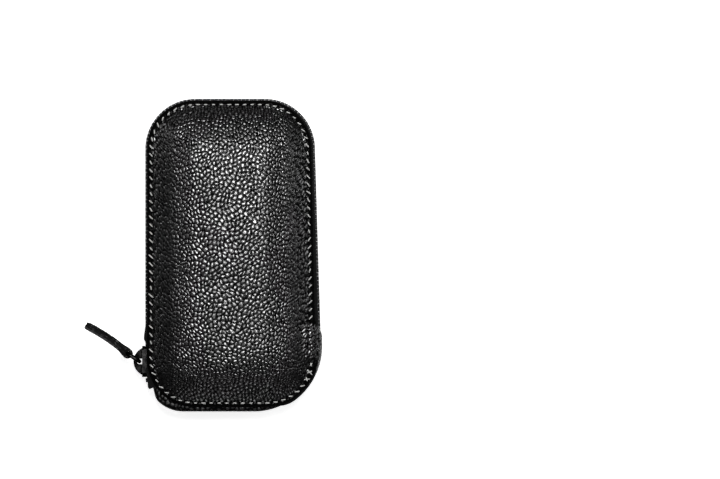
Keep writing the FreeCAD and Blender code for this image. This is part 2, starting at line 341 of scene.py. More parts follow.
def pebbles(places):
    """Leather grain at places on the flat hide, 0 in the creases to 1 on top, level and leaning."""
    scaled = places / PEBBLE
    scaled = scaled + PEBBLE_DRIFT * np.sin(scaled[:, ::-1] * DRIFT_PITCH + np.array(DRIFT_PHASE))
    row = np.floor(scaled[:, 1] / ROW_STEP).astype(np.int64)
    first = np.full(len(places), FAR)
    second = np.full(len(places), FAR)
    lean = np.zeros(len(places))
    for up, over in product((-1, 0, 1), repeat=2):
        shift = 0.5 * ((row + up) % 2)
        cell = np.stack([np.floor(scaled[:, 0] - shift).astype(np.int64) + over, row + up], 1)
        spot = cell + 0.5 + PEBBLE_JITTER * (scatter(cell, PEBBLE_SEED) - 0.5)
        centre = np.stack([spot[:, 0] + shift, spot[:, 1] * ROW_STEP], 1)
        away = scaled - centre
        distance = np.linalg.norm(away, axis=1)
        tilt = (away * (scatter(cell, PEBBLE_SEED + 1) - 0.5)).sum(1)
        lean = np.where(distance < first, tilt, lean)
        second = np.minimum(second, np.maximum(first, distance))
        first = np.minimum(first, distance)
    crown = 1 - (1 - np.clip((second - first) / CREASE_WIDTH, 0, 1)) ** PEBBLE_ROUND
    return np.array([crown, crown * (1 + PEBBLE_LEAN * lean)])


class Skin:
    """Points and faces of one piece, in millimetres, with marks that its material reads."""

    def __init__(self):
        self.parts = []
        self.faces = []
        self.count = 0

    def add(self, points, grain=0.0, along=0.0, across=0.0, drawn=0.0):
        """Adds points and gives their numbers; along and across are places on the flat material.

        Grain is the share of the full pebble height. Drawn holds a second place, where the grain is
        pulled long, and the share of that grain.
        """
        points = np.asarray(points, float).reshape(-1, 3)
        marks = np.zeros((len(points), 6))
        marks[:, 0] = grain
        marks[:, 1] = along
        marks[:, 2] = across
        marks[:, 3:] = drawn
        self.parts.append(np.hstack([points, marks]))
        first = self.count
        self.count += len(points)
        return np.arange(first, self.count)

    def band(self, one, two, closed=True):
        """Quads between two rows of as many points."""
        a, b = np.asarray(one), np.asarray(two)
        if closed:
            a, b = np.append(a, a[0]), np.append(b, b[0])
        self.faces += np.stack([a[:-1], a[1:], b[1:], b[:-1]], 1).tolist()

    def join(self, rows):
        """Quads between each closed row and the next."""
        for one, two in zip(rows[:-1], rows[1:]):
            self.band(one, two)

    def tube(self, rows):
        """Closed rows joined into a tube with both ends capped."""
        self.join(rows)
        self.faces.append(rows[0][::-1].tolist())
        self.faces.append(rows[-1].tolist())

    def fill(self, ring, loop, across, along, lay):
        """Grid of faces inside a closed ring; lay adds the flat points that fill its loop."""
        numbers = np.zeros((along + 1, across + 1), int)
        numbers[1:-1, 1:-1] = lay(coons(loop, across, along)).reshape(along - 1, across - 1)
        numbers[0], numbers[:, -1], numbers[-1], numbers[:, 0] = four_sides(ring, across, along)
        for one, two in zip(numbers[:-1], numbers[1:]):
            self.band(one, two, closed=False)

    def build(self, name, material):
        data = np.concatenate(self.parts)
        mesh = bpy.data.meshes.new(name)
        mesh.from_pydata((data[:, :3] * MM).tolist(), [], self.faces)
        work = bmesh.new()
        work.from_mesh(mesh)
        bmesh.ops.recalc_face_normals(work, faces=work.faces)
        work.to_mesh(mesh)
        work.free()
        mesh.shade_smooth()
        grain = data[:, 3]
        if grain.any():
            normals = np.zeros(len(data) * 3, np.float32)
            mesh.vertex_normals.foreach_get("vector", normals)
            plain = pebbles(data[:, 4:6])
            height, leaning = plain + (pebbles(data[:, 6:8]) - plain) * data[:, 8]
            rise = (leaning - PEBBLE_SINK) * PEBBLE_HEIGHT * grain
            moved = data[:, :3] + normals.reshape(-1, 3) * rise[:, None]
            mesh.vertices.foreach_set("co", (moved * MM).astype(np.float32).ravel())
            mark(mesh, "pebble", height * np.clip(PEBBLE_SHOW * grain, 0, 1))
        elif data[:, 4:6].any():
            mark(mesh, "along", data[:, 4])
            mark(mesh, "across", data[:, 5])
        mesh.update()
        mesh.materials.append(material)
        return put(name, mesh)


def mark(mesh, name, values):
    attribute = mesh.attributes.new(name, "FLOAT", "POINT")
    attribute.data.foreach_set("value", np.asarray(values, np.float32))


def rounded_section(width, height, radius, steps):
    """Rounded rectangle as (side, up) points, counter-clockwise."""
    points = []
    for i, (x, y) in enumerate([(1, -1), (1, 1), (-1, 1), (-1, -1)]):
        centre = np.array([x * (width / 2 - radius), y * (height / 2 - radius)])
        for share in np.linspace(0, 1, steps + 1):
            angle = math.pi / 2 * (i - 1 + share)
            points.append(centre + radius * np.array([math.cos(angle), math.sin(angle)]))
    return np.array(points)


def round_section(radius, steps):
    angles = np.arange(steps) * 2 * math.pi / steps
    return radius * np.stack([np.cos(angles), np.sin(angles)], 1)


def on_half(xy, height, side):
    """Points at a height on the front half, or their mirror image on the back half."""
    return np.column_stack([xy, height if side > 0 else 2 * MIDDLE - height])


def columns(outline, spacing, multiple=1):
    """Lengths along an outline from corner middle to corner middle, in multiples on each side."""
    m = outline.middles
    across = multiple * int(round((m[1] - m[0]) / spacing / multiple))
    along = multiple * int(round((m[2] - m[1]) / spacing / multiple))
    sides = zip(m[:-1], m[1:], (across, along, across, along))
    lengths = np.concatenate([np.linspace(a, b, n, endpoint=False) for a, b, n in sides])
    return lengths, across, along


# Panels

def square_up(points):
    """Moves points of the plain panel outline to the slightly slanted right edge."""
    moved = np.array(points, float)
    half = PANEL_LENGTH / 2
    slant = RIGHT_EDGE_BASE + (RIGHT_EDGE_TOP - RIGHT_EDGE_BASE) * (moved[:, 1] + half) / (2 * half)
    moved[:, 0] += slant * ease(moved[:, 0], 0, PANEL_WIDTH / 2)
    return moved


def edge_distance(points):
    """Distance of points from the panel's edge, inwards."""
    q = np.abs(points) - (HALF_PANEL - PANEL_CORNER)
    outside = np.linalg.norm(np.maximum(q, 0), axis=1)
    inside = np.minimum(q.max(1), 0)
    return PANEL_CORNER - outside - inside


def pillow(points):
    """Share of the full swell on the front: highest along the middle, falling to the seam."""
    depth = HALF_PANEL[0] - SWELL_FOOT
    fall = 1 - np.clip((HALF_PANEL - np.abs(points) - SWELL_FOOT) / depth, 0, 1)
    return np.clip(1 - (fall ** PILLOW_CORNERS).sum(1) ** (PILLOW_POWER / PILLOW_CORNERS), 0, 1)


def flat_pad(points):
    """Share of the full swell on the back, which is flat enough to lie on."""
    return ease(edge_distance(points), *FLAT_PAD)


def resample(points, count):
    """The same open line with evenly spaced points."""
    points = np.array(points, float)
    lengths = travelled(points)
    wanted = np.linspace(0, lengths[-1], count)
    return np.stack([np.interp(wanted, lengths, points[:, i]) for i in range(2)], 1)


def edge_line(under, edge):
    """Underside and edge as one line, evenly spaced on each."""
    return np.concatenate([resample(under, UNDER_POINTS), resample(edge, EDGE_POINTS)[1:]])


def flap_line(reach):
    """The edge's line where the leather is turned down over the side wall."""
    drop = MIDDLE + FLAP_PARTING - RIM
    inner = reach - FLAP
    hem = (inner, drop + FLAP_ROUND)
    under = [(-UNDER_REACH, 0.0), (inner - FLAP_BEND, 0.0), (inner, -FLAP_BEND), hem]
    edge = [hem, (inner + FLAP_ROUND, drop), (reach - FLAP_LIP[0], drop), (reach, drop + FLAP_LIP[1])]
    for a in np.linspace(math.pi / 2, 0, BEND_POINTS):
        out = (reach + EDGE_WIDTH) * math.sin(a) - EDGE_WIDTH
        edge.append((out, LEATHER - FLAP_FALL * (1 - math.cos(a))))
    return edge_line(under, edge)


def outer_profiles(base, normals):
    """For each column round the panel, its line from the underside over the edge onto the top."""
    plain = edge_line([(-UNDER_REACH, 0.0), CUT_EDGE[0]], CUT_EDGE)
    x, y = base.T
    turned = ease(y, *FLAP_TOP) * ease(x, *FLAP_END)
    cover = wall_outline.points + FLAP_STAND_OFF * wall_outline.normals
    profiles = np.repeat(plain[None], len(base), axis=0)
    for i in np.nonzero(turned > 0)[0]:
        away = cover - base[i]
        ahead = away @ normals[i]
        aside = np.abs(away[:, 0] * normals[i, 1] - away[:, 1] * normals[i, 0])
        reach = ahead[np.argmin(aside + FAR * (ahead < 0))]
        profiles[i] += turned[i] * (flap_line(reach) - plain)
    return profiles


# Number of stitches, and the place of each point of the outline counted in stitches
stitch_gaps = gaps_round(panel_outline.points - STITCH_INSET * panel_outline.normals)
stitch_count = int(round(stitch_gaps.sum() / STITCH_PITCH))
stitch_places = (np.cumsum(stitch_gaps) - stitch_gaps) / stitch_gaps.sum() * stitch_count


def unsewn(points):
    """1 where the leather runs on over the side at the lower right without a seam, else 0."""
    x, y = points.T
    top, low = UNSEWN
    by_top, by_low = UNSEWN_FADE
    return ease(x, *UNSEWN_SIDE) * ease(y, top + by_top, top - by_top) * ease(y, low - by_low, low + by_low)


def run_on(distance, points):
    """Extra height that carries the swell out over the side where there is no seam."""
    return RUN_ON * unsewn(points) * np.exp(-((distance - RUN_ON_PLACE) / RUN_ON_WIDTH) ** 2)


def seam_dip(distance, shares, points):
    """Leather drawn down along the stitch line, most at the needle holes."""
    to_hole = np.abs(shares - np.round(shares)) * STITCH_PITCH
    across = np.exp(-((distance - STITCH_INSET) / SEAM_WIDTH) ** 2)
    depth = SEAM_DEPTH + HOLE_DEPTH * np.exp(-(to_hole / HOLE_WIDTH) ** 2)
    return across * depth * (1 - unsewn(points))


def four_sides(loop, across, along):
    """Bottom, right, top and left of a closed loop that starts at its lower left corner."""
    closed = np.append(loop, loop[:1], axis=0)
    ends = np.cumsum([0, across, along, across, along])
    bottom, right, top, left = [closed[a:b + 1] for a, b in zip(ends[:-1], ends[1:])]
    return bottom, right, top[::-1], left[::-1]


def coons(loop, across, along):
    """Rows of points that fill a closed loop evenly."""
    bottom, right, top, left = four_sides(loop, across, along)
    u = np.linspace(0, 1, across + 1)[None, :, None]
    v = np.linspace(0, 1, along + 1)[:, None, None]
    ruled = (1 - v) * bottom[None] + v * top[None] + (1 - u) * left[:, None] + u * right[:, None]
    corners = (1 - u) * (1 - v) * bottom[0] + u * (1 - v) * bottom[-1]
    corners = corners + (1 - u) * v * top[0] + u * v * top[-1]
    return (ruled - corners)[1:-1, 1:-1].reshape(-1, 2)


def unevenness(points):
    """Broad soft hollows of a padded panel that has been handled."""
    x, y = points.T
    waves = np.sin(x / 12 + y / 23 + 0.6) * np.cos(y / 17 - 0.4) + 0.6 * np.sin(y / 9 - x / 14 + 2.0)
    return HOLLOW_DEPTH * waves


def panel_piece(swell, spacing, side, rest):
    """Padded leather panel: turned flap, rolled edge, sewn rim and swollen middle."""
    lengths, across, along = columns(panel_outline, spacing, COARSE)
    flat, normals = panel_outline.at(lengths)
    base = square_up(flat)
    shares = np.interp(lengths, panel_outline.lengths, stitch_places)
    by_side = ease(np.abs(normals[:, 0]), *FLANK_FACING)
    skin = Skin()

    def lifted(xy, height):
        return on_half(xy, RIM + height, side)

    def padded(xy):
        return LEATHER + ((SWELL - rest) + unevenness(xy) * (side > 0)) * swell(xy)

    def hide(xy):
        """Places on the flat hide, apart for the two panels, drawn long towards the rim."""
        spread = np.linalg.norm(xy / HIDE_SPREAD, axis=1, keepdims=True)
        way = (xy - HIDE_MIDDLE) / HIDE_REACH ** 2
        way = way / np.sqrt((way ** 2).sum(1, keepdims=True) + HIDE_SOFTNESS ** 2)
        place = xy + HIDE_DRAW * spread ** 3 * way
        return {"along": place[:, 1] + HIDE_APART * side, "across": place[:, 0]}

    def pulled(distance):
        """Places that draw the grain long and aslant down the sides, and its share there."""
        near = np.broadcast_to(distance, len(flat))
        over = FLANK_SQUEEZE * (near + FLANK_TILT * flat[:, 1])
        return np.column_stack([FLANK_STRETCH * lengths, over, by_side * ease(near, *FLANK_ZONE)])

    profiles = outer_profiles(base, normals)
    steps = np.linalg.norm(np.diff(profiles, axis=1), axis=2)
    turned_out = np.cumsum(steps[:, ::-1], axis=1)[:, ::-1]
    turned_out = np.append(turned_out, np.zeros((len(flat), 1)), axis=1) - EDGE_WIDTH
    rings = []
    for k in range(profiles.shape[1]):
        out = profiles[:, k, 0]
        height = profiles[:, k, 1] + run_on(-out, flat)
        xy = base + out[:, None] * normals
        place = hide(flat + turned_out[:, k, None] * normals)
        place["drawn"] = pulled(-turned_out[:, k])
        grain = 0.0
        if k >= UNDER_POINTS:
            onto_top = (RIM_GRAIN - EDGE_GRAIN) * (k - UNDER_POINTS) / EDGE_POINTS
            turned = np.clip((out - FLAP_GRAIN_FROM) / FLAP_GRAIN_OVER, 0, 1)
            grain = np.maximum(np.clip(EDGE_GRAIN + onto_top + turned, 0, 1), unsewn(flat))
        rings.append(skin.add(lifted(xy, height), grain=grain, **place))
    for distance in np.arange(EDGE_WIDTH + spacing, GRID_INSET + TINY, spacing):
        xy = flat - distance * normals
        rise = padded(xy) - seam_dip(distance, shares, flat) + run_on(distance, flat)
        grain = RIM_GRAIN + (1 - RIM_GRAIN) * np.maximum(ease(distance, *GRAIN_STARTS), unsewn(flat))
        points = lifted(square_up(xy), rise)
        rings.append(skin.add(points, grain=grain, drawn=pulled(distance), **hide(xy)))
    skin.join(rings)

    def outer_face(xy):
        return skin.add(lifted(square_up(xy), padded(xy)), grain=1.0, **hide(xy))

    def inner_face(xy):
        return skin.add(lifted(square_up(xy), (SWELL - rest) * swell(xy)))

    skin.fill(rings[-1], flat - distance * normals, across, along, outer_face)
    close_underside(skin, rings[0], flat[::COARSE], normals[::COARSE], across, along, inner_face)
    return skin


def close_underside(skin, ring, flat, normals, across, along, inner_face):
    """Coarser inner face of the leather, joined to the columns of the edge in bunches."""
    rings = [inner_face(flat - distance * normals) for distance in UNDER_RINGS]
    wrapped = np.append(ring, ring[0])
    following = np.roll(rings[0], -1)
    for j, number in enumerate(rings[0]):
        bunch = wrapped[COARSE * j:COARSE * (j + 1) + 1].tolist()
        skin.faces.append(bunch + [int(following[j]), int(number)])
    skin.join(rings)
    skin.fill(rings[-1], flat - GRID_INSET * normals, across // COARSE, along // COARSE, inner_face)


def stitching(name, side, material):
    """Saddle stitches round the rim, each a short thread that dips into its two holes."""
    holes = np.interp(np.arange(stitch_count), stitch_places, panel_outline.lengths)
    points, normals = panel_outline.at(holes)
    points = points - STITCH_INSET * normals
    section = round_section(1.0, THREAD_SIDES)
    round_thread = np.arange(THREAD_SIDES) / THREAD_SIDES
    shares = np.linspace(-1, 1, STITCH_POINTS)
    thick = THREAD * (1 - THREAD_TAPER * shares ** 6)
    skin = Skin()
    chance = np.random.default_rng(STITCH_SEED + side)
    tacked = (points[:, 0] > UNSEWN_SIDE[0]) & (points[:, 1] < UNSEWN[1]) & (points[:, 1] > TACKED_TO)
    turns = [(i, 1) for i in range(stitch_count)] + [(i, -1) for i in np.nonzero(tacked)[0]]
    for i, way in turns:
        start, end = points[i], points[(i + 1) % stitch_count]
        middle = (start + end) / 2
        if unsewn(middle[None])[0] > 0.5:
            continue
        out = normals[i] + normals[(i + 1) % stitch_count]
        out /= np.linalg.norm(out)
        ahead = (end - start) / np.linalg.norm(end - start)
        length, lean, sink = chance.normal(0, 1, 3).clip(-DRIFT_LIMIT, DRIFT_LIMIT)
        turned = -1 if middle[0] > 0 and middle[1] > SLANT_TURNS else 1
        slant = way * STITCH_SLANT * (1 + LEAN_DRIFT * lean) * (TACK_SLANT if tacked[i] else turned * out[0])
        reach = STITCH_LENGTH / 2 * (1 + LENGTH_DRIFT * length)
        path = square_up(middle + np.outer(shares * reach, ahead) + np.outer(shares * slant, out))
        height = RIM + LEATHER - STITCH_BED - SINK_DRIFT * sink
        height = height + STITCH_ARCH * (1 - shares ** 4) - STITCH_DIVE * shares ** 6
        path = on_half(path, height, side)
        along = unit(np.gradient(path, axis=0))
        sides = unit(np.cross(along, UP))
        ups = np.cross(sides, along)
        rings = []
        for j in range(STITCH_POINTS):
            ring = np.outer(section[:, 0], sides[j]) + np.outer(section[:, 1], ups[j]) * THREAD_FLATNESS
            place = shares[j] * STITCH_LENGTH / 2 + i * STITCH_PITCH
            rings.append(skin.add(path[j] + thick[j] * ring, along=place, across=round_thread))
        skin.tube(rings)
    return skin.build(name, material)


# Side wall: zip tapes and spine

def wall_run(start, end, step):
    """Points, outward normals and lengths along the side wall between two lengths."""
    if end < start:
        end += wall_outline.total
    lengths = np.linspace(start, end, int((end - start) / step) + 1)
    points, normals = wall_outline.at(lengths)
    return points, normals, lengths - lengths[0]


def wall_strip(skin, run, section, lift, side, grain, start=0.0, turn=None):
    """Carries a section of (outward, height) points along the side wall.

    Start is its place along the strip, and turn the number of the point that lies on the fold.
    """
    points, normals, lengths = run
    rows = []
    travel = travelled(section)
    if side < 0 and turn:
        travel = 2 * travel[turn] - travel
    for i in range(len(points)):
        xy = points[i] + np.outer(section[:, 0] + lift[i], normals[i])
        ring = on_half(xy, section[:, 1], side)
        rows.append(skin.add(ring, grain=grain, along=start + lengths[i], across=travel))
    skin.tube(rows)


right_end = wall_outline.length_where(lambda x, y: (x > WALL_SIDE) & (y > ZIP_END_RIGHT))
left_end = wall_outline.length_where(
    lambda x, y: (x < -WALL_SIDE) & (y < ZIP_END_LEFT) & (y > ZIP_END_LEFT - 1))


def tape_piece(name, side, material):
    """Woven zip tape: the wall beside the teeth, turned in under the leather rim."""
    foot = MIDDLE + TAPE_GAP
    fold = RIM - TAPE
    section = np.array([
        (-0.05, RIM - 0.55), (-0.3, RIM - 0.12), (-0.9, RIM - UNDER_RIM), (-TAPE_TURN_IN, RIM - UNDER_RIM),
        (-TAPE_TURN_IN, fold), (-1.2, fold), (-0.75, fold - 0.2), (-TAPE, fold - 0.6), (-TAPE, foot + 0.25),
        (-TAPE + 0.15, foot), (-0.15, foot), (0.0, foot + 0.25), (0.03, foot + 0.9), (0.06, foot + 1.4),
        (0.06, foot + 1.8), (0.06, foot + 2.6),
    ])
    run = wall_run(right_end, left_end - TAPE_END, TAPE_STEP)
    x, y = run[0].T
    on_left = x < 0
    to_end = run[2][-1] - run[2]
    lift = on_left * END_LIFT * ease(to_end, *END_LIFT_FROM) - END_DROP * ease(to_end, *END_DROP_FROM)
    above = y - SLIDER_TOP
    by_slider = on_left * ease(above, *PUCKER_ABOVE) * ease(above, *PUCKER_FROM)
    clear_of_teeth = ease(section[:, 1] - foot, *TEETH_COVER)
    lift = lift[:, None] + np.outer(by_slider, PUCKER_LOW + PUCKER_HIGH * clear_of_teeth)
    skin = Skin()
    wall_strip(skin, run, section, lift, side, 0.0)
    return skin.build(name, material)


def spine_half():
    """Hem, outer face and inner face of one half of the spine as (outward, height)."""
    hem = [(-SPINE_HEM, RIM - TAPE)]
    hem += [(out, RIM - UNDER_RIM) for out in np.linspace(-SPINE_HEM, -0.9, HEM_POINTS)]
    hem += [(-0.6, RIM - 0.08), (-0.3, RIM - 0.25), (-0.08, RIM - SPINE_SHOULDER)]
    height = RIM - SPINE_SHOULDER - MIDDLE
    outer = []
    for share in np.linspace(1, 0, SPINE_POINTS)[1:]:
        crease = SPINE_CREASE * math.exp(-(share / SPINE_CREASE_WIDTH) ** 2)
        outer.append((SPINE_BULGE * math.cos(math.pi / 2 * share) - crease, MIDDLE + share * height))
    inner = [(-LEATHER, z) for z in np.linspace(MIDDLE, RIM - TAPE - 0.3, HEM_POINTS)]
    return hem, outer, inner


fold_from = wall_outline.length_where(lambda x, y: y < BASE_Y + STRAIGHT)
fold_to = wall_outline.length_where(lambda x, y: (x > 0) & (y > BASE_Y + STRAIGHT))
left_corner = wall_run(left_end - SPINE_OVERLAP, fold_from, SPINE_STEP)
corner_length = left_corner[2][-1]


def spine_fold(name, material):
    """The straight run of the spine, one strip that is creased along its middle where it folds."""
    def mirrored(points):
        return [(out, 2 * MIDDLE - z) for out, z in points[::-1]]

    hem, outer, inner = spine_half()
    front = hem + outer
    section = np.array(front + mirrored(front)[1:] + mirrored(inner) + inner[1:])
    grain = np.zeros(len(section))
    grain[2:2 * len(front) - 3] = SPINE_GRAIN
    run = wall_run(fold_from, fold_to, SPINE_STEP)
    skin = Skin()
    wall_strip(skin, run, section, np.zeros(len(run[2])), 1, grain, start=corner_length)
    return sharp_ends(skin.build(name, material))


def spine_corners(name, side, material):
    """The spine's rounded ends on one half, slit along the fold so that the case can open."""
    hem, outer, inner = spine_half()
    section = np.array(hem + outer + inner)
    turn = len(hem) + len(outer) - 1
    section[turn:turn + 2, 1] += SPINE_SLIT
    grain = np.zeros(len(section))
    grain[2:turn] = SPINE_GRAIN
    skin = Skin()
    tuck = -SPINE_TUCK * ease(left_corner[2], SPINE_TUCK_LENGTH, 0)
    wall_strip(skin, left_corner, section, tuck, side, grain, turn=turn)
    right_corner = wall_run(fold_to, right_end + SPINE_STEP, SPINE_STEP)
    level = np.zeros(len(right_corner[2]))
    start = corner_length + fold_to - fold_from
    wall_strip(skin, right_corner, section, level, side, grain, start=start, turn=turn)
    return sharp_ends(skin.build(name, material))


def sharp_ends(piece):
    """Keeps the cut ends of a strip from shading into its faces."""
    piece.data.set_sharp_from_angle(angle=SHARP_ANGLE)
    return piece


# Linings

def lining_piece(name, side, material):
    """Lining cloth that covers the inside of one half, following its swell."""
    lengths, across, along = columns(wall_outline, LINING_SPACING)
    points, normals = wall_outline.at(lengths)
    skin = Skin()

    def cloth(xy):
        distance = edge_distance(xy)
        if side > 0:
            rise = np.clip(distance - FRONT_LINING_FOOT, 0, None) / FRONT_LINING_RISE
            share = 1 - np.exp(-rise ** FRONT_LINING_ROUND)
        else:
            share = 1 - (1 - np.clip((distance - BACK_LINING_FOOT) / BACK_LINING_RISE, 0, 1)) ** 2
        z = RIM - TAPE - LINING + (SWELL - LINING_CLEARANCE) * share
        return skin.add(on_half(xy, z, side), along=xy[:, 1] + LINING_START, across=xy[:, 0] + LINING_START)

    rings = [cloth(points - distance * normals) for distance in LINING_RINGS]
    skin.join(rings)
    skin.fill(rings[-1], points - LINING_RINGS[-1] * normals, across, along, cloth)
    piece = skin.build(name, material)
    faces_out = piece.data.polygons[0].normal.z * side > 0
    thickness = piece.modifiers.new("cloth", "SOLIDIFY")
    thickness.thickness = LINING_THICKNESS * MM
    thickness.offset = 1 if faces_out else -1
    return piece


# Zip slider and pull

joints = {joint["name"]: joint for joint in frame["joints"]}
link_pivot = np.array(joints["pull_link_swing"]["pos_m"]) / MM
tab_pivot = np.array(joints["pull_tab_swing"]["pos_m"]) / MM
link_length = np.linalg.norm(tab_pivot - link_pivot)
pull_way = (tab_pivot - link_pivot) / link_length
pull_side = np.cross(UP, pull_way)

LINK_WIRE = 1.5
LINK_WIDTH = 7.5
LINK_CORNER = 1.3
LINK_POINTS = 72
LINK_SIDES = 16
TAB_LENGTH = 19.5
TAB_WIDTH = 5.4
TAB_LEATHER = 1.1
TAB_BOW = 0.7
TAB_FOLD = 6.0
TAB_FOLD_END = 0.2
TAB_TWIST = math.radians(13)
TAB_TWIST_FROM = (1.5, 6.0)
TAB_PLAY = 0.1
TAB_PARTING = 0.01
TAB_NECK = 1.2
TAB_TIP = (1.7, 0.5)
TAB_NARROWING = 0.4
TAB_THINNING = 0.5
TAB_ROUND = 0.3
TAB_GRAIN = 0.38
TAB_FACES_APART = 3
TAB_POINTS = 14
TAIL_POINTS = 56
LOOP_POINTS = 20


def link_piece(name, material):
    """Closed wire ring between the slider's bridge and the leather tab."""
    ring = Outline(rectangle(link_length, LINK_WIDTH), [LINK_CORNER] * 4)
    flat, normals = ring.at(np.linspace(0, ring.total, LINK_POINTS, endpoint=False))
    path = link_pivot + np.outer(flat[:, 0] + link_length / 2, pull_way) + np.outer(flat[:, 1], UP)
    outs = np.outer(normals[:, 0], pull_way) + np.outer(normals[:, 1], UP)
    section = round_section(LINK_WIRE / 2, LINK_SIDES)
    skin = Skin()
    rows = []
    for place, outward in zip(path, outs):
        wire = np.outer(section[:, 0], outward) + np.outer(section[:, 1], pull_side)
        rows.append(skin.add(place + wire))
    skin.join(rows + rows[:1])
    return skin.build(name, material)


def tab_piece(name, material):
    """Leather strip folded round the link's far bar, its layers closed into a bowed tail."""
    bar = LINK_WIRE / 2 + TAB_PLAY
    tail = np.linspace(TAB_LENGTH, TAB_NECK, TAIL_POINTS)
    out = np.append(tail, np.linspace(TAB_NECK, 0, TAB_POINTS)[1:])
    inner = np.sqrt(np.clip(bar ** 2 - out ** 2, 0, None)) + TAB_PARTING
    outer = TAB_LEATHER + bar * ease(out, TAB_FOLD, TAB_FOLD_END)
    angles = np.linspace(math.pi / 2, 3 * math.pi / 2, LOOP_POINTS)[1:-1]
    loop = bar + TAB_LEATHER / 2
    layer = (inner + outer) / 2
    distance = np.concatenate([out, loop * np.cos(angles), out[::-1]])
    offset = np.concatenate([layer, loop * np.sin(angles), -layer[::-1]])
    depth = np.concatenate([outer - inner, np.full(len(angles), TAB_LEATHER), (outer - inner)[::-1]])
    share = np.clip(distance / TAB_LENGTH, 0, 1)
    bow = -4 * TAB_BOW * share * (1 - share)
    twist = TAB_TWIST * ease(distance, *TAB_TWIST_FROM)
    across = np.outer(np.cos(twist), pull_side) + np.outer(np.sin(twist), UP)
    widths = np.outer(np.cos(twist), UP) - np.outer(np.sin(twist), pull_side)
    path = tab_pivot + np.outer(distance, pull_way) + np.outer(bow, pull_side) + across * offset[:, None]
    thick = np.cross(unit(np.gradient(path, axis=0)), widths)
    section = split_long_sides(rounded_section(TAB_WIDTH, 1.0, TAB_ROUND, 3), TAB_POINTS)
    tip = TAB_NARROWING * ease(distance, TAB_LENGTH - TAB_TIP[0], TAB_LENGTH + TAB_TIP[1])
    depth = depth * (1 - TAB_THINNING * tip)
    travel = travelled(path)
    place = section[:, 0] + TAB_FACES_APART * section[:, 1]
    skin = Skin()
    rows = []
    for i in range(len(path)):
        ring = path[i] + np.outer(section[:, 0] * (1 - tip[i]), widths[i])
        ring = ring + np.outer(section[:, 1] * depth[i], thick[i])
        rows.append(skin.add(ring, grain=TAB_GRAIN, along=travel[i], across=place))
    skin.tube(rows)
    return skin.build(name, material)


def split_long_sides(section, steps):
    """Adds points to the long sides of a section, so that grain can follow them."""
    closed = np.append(section, section[:1], axis=0)
    points = []
    for a, b in zip(closed[:-1], closed[1:]):
        count = steps if np.linalg.norm(b - a) > TAB_WIDTH / 2 else 1
        points += [a + (b - a) * k / count for k in range(count)]
    return np.array(points)


# Materials

class Tree:
    """Short ways to add and join shader nodes."""

    def __init__(self, tree):
        self.tree = tree

    def join(self, value, socket):
        """Links the output of a node to a socket, or sets the socket to a plain value."""
        if isinstance(value, bpy.types.NodeSocket):
            self.tree.links.new(value, socket)
        else:
            socket.default_value = value

    def add(self, kind, inputs=None, **settings):
        made = self.tree.nodes.new(kind)
        for name, value in settings.items():
            setattr(made, name, value)
        for name, value in (inputs or {}).items():
            self.join(value, made.inputs[name])
        return made

    def place(self):
        return self.add("ShaderNodeTexCoord").outputs["Object"]

    def mark(self, name):
        return self.add("ShaderNodeAttribute", attribute_name=name).outputs["Fac"]

    def noise(self, place, scale, detail):
        inputs = {"Vector": place, "Scale": scale, "Detail": detail}
        return self.add("ShaderNodeTexNoise", inputs).outputs["Fac"]

    def maths(self, operation, a, b=0.5):
        return self.add("ShaderNodeMath", {0: a, 1: b}, operation=operation).outputs[0]

    def ramp(self, value, low, high, low_to=0.0, high_to=1.0):
        limits = {"From Min": low, "From Max": high, "To Min": low_to, "To Max": high_to}
        return self.add("ShaderNodeMapRange", {"Value": value, **limits}).outputs["Result"]

    def wave(self, value):
        """Rounded ridges, one for each whole step of the value."""
        return self.maths("ABSOLUTE", self.maths("SINE", self.maths("MULTIPLY", value, math.pi)))

    def mix(self, share, a, b):
        return self.add("ShaderNodeMix", {"Factor": share, 6: a, 7: b}, data_type="RGBA").outputs[2]


VALUE = "NodeSocketFloat"
COLOUR = "NodeSocketColor"


def shader_group(name, inputs, outputs):
    """An empty node group with these named sockets."""
    tree = bpy.data.node_groups.new(name, "ShaderNodeTree")
    for way, sockets in (("INPUT", inputs), ("OUTPUT", outputs)):
        for label, kind in sockets.items():
            tree.interface.new_socket(label, in_out=way, socket_type=kind)
    t = Tree(tree)
    return t, t.add("NodeGroupInput").outputs, t.add("NodeGroupOutput").inputs


